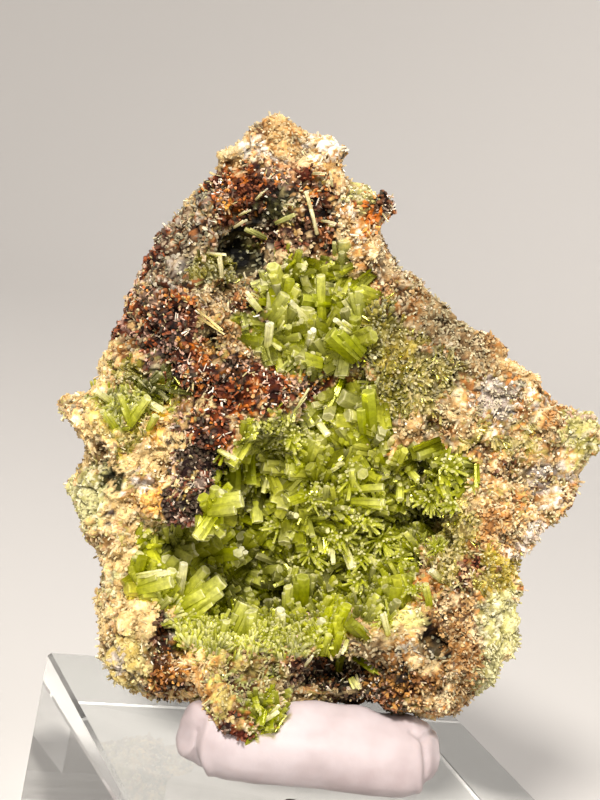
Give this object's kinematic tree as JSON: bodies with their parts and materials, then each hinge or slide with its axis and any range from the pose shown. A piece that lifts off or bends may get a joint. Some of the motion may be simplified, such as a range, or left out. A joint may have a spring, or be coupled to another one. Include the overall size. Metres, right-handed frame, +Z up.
{
  "type": "pyromorphite mineral specimen",
  "caption": "Rough limonite matrix with vugs of green pyromorphite prisms, upright on a roll of white putty on a square clear acrylic block.",
  "frame": {"origin": "centre of the block's underside, on the surface it stands on", "axes": "+Z up, -Y out of the specimen's crystal-lined face, +X to the right as that face is seen"},
  "size_m": [0.0676, 0.0646, 0.0896],
  "materials": {
    "matrix_rock": "rough limonite and quartz druse, brown, rust and cream",
    "green_crystal": "translucent yellow-green prisms with pale ends",
    "white_putty": "soft satin white putty",
    "clear_acrylic": "polished, water clear"
  },
  "bodies": {
    "root": {"limonite_matrix": "matrix_rock", "vug_crystals": "green_crystal", "pocket_crystals": "green_crystal", "foot_crystals": "green_crystal", "mounting_putty": "white_putty", "acrylic_block": "clear_acrylic"}
  },
  "joints": []
}
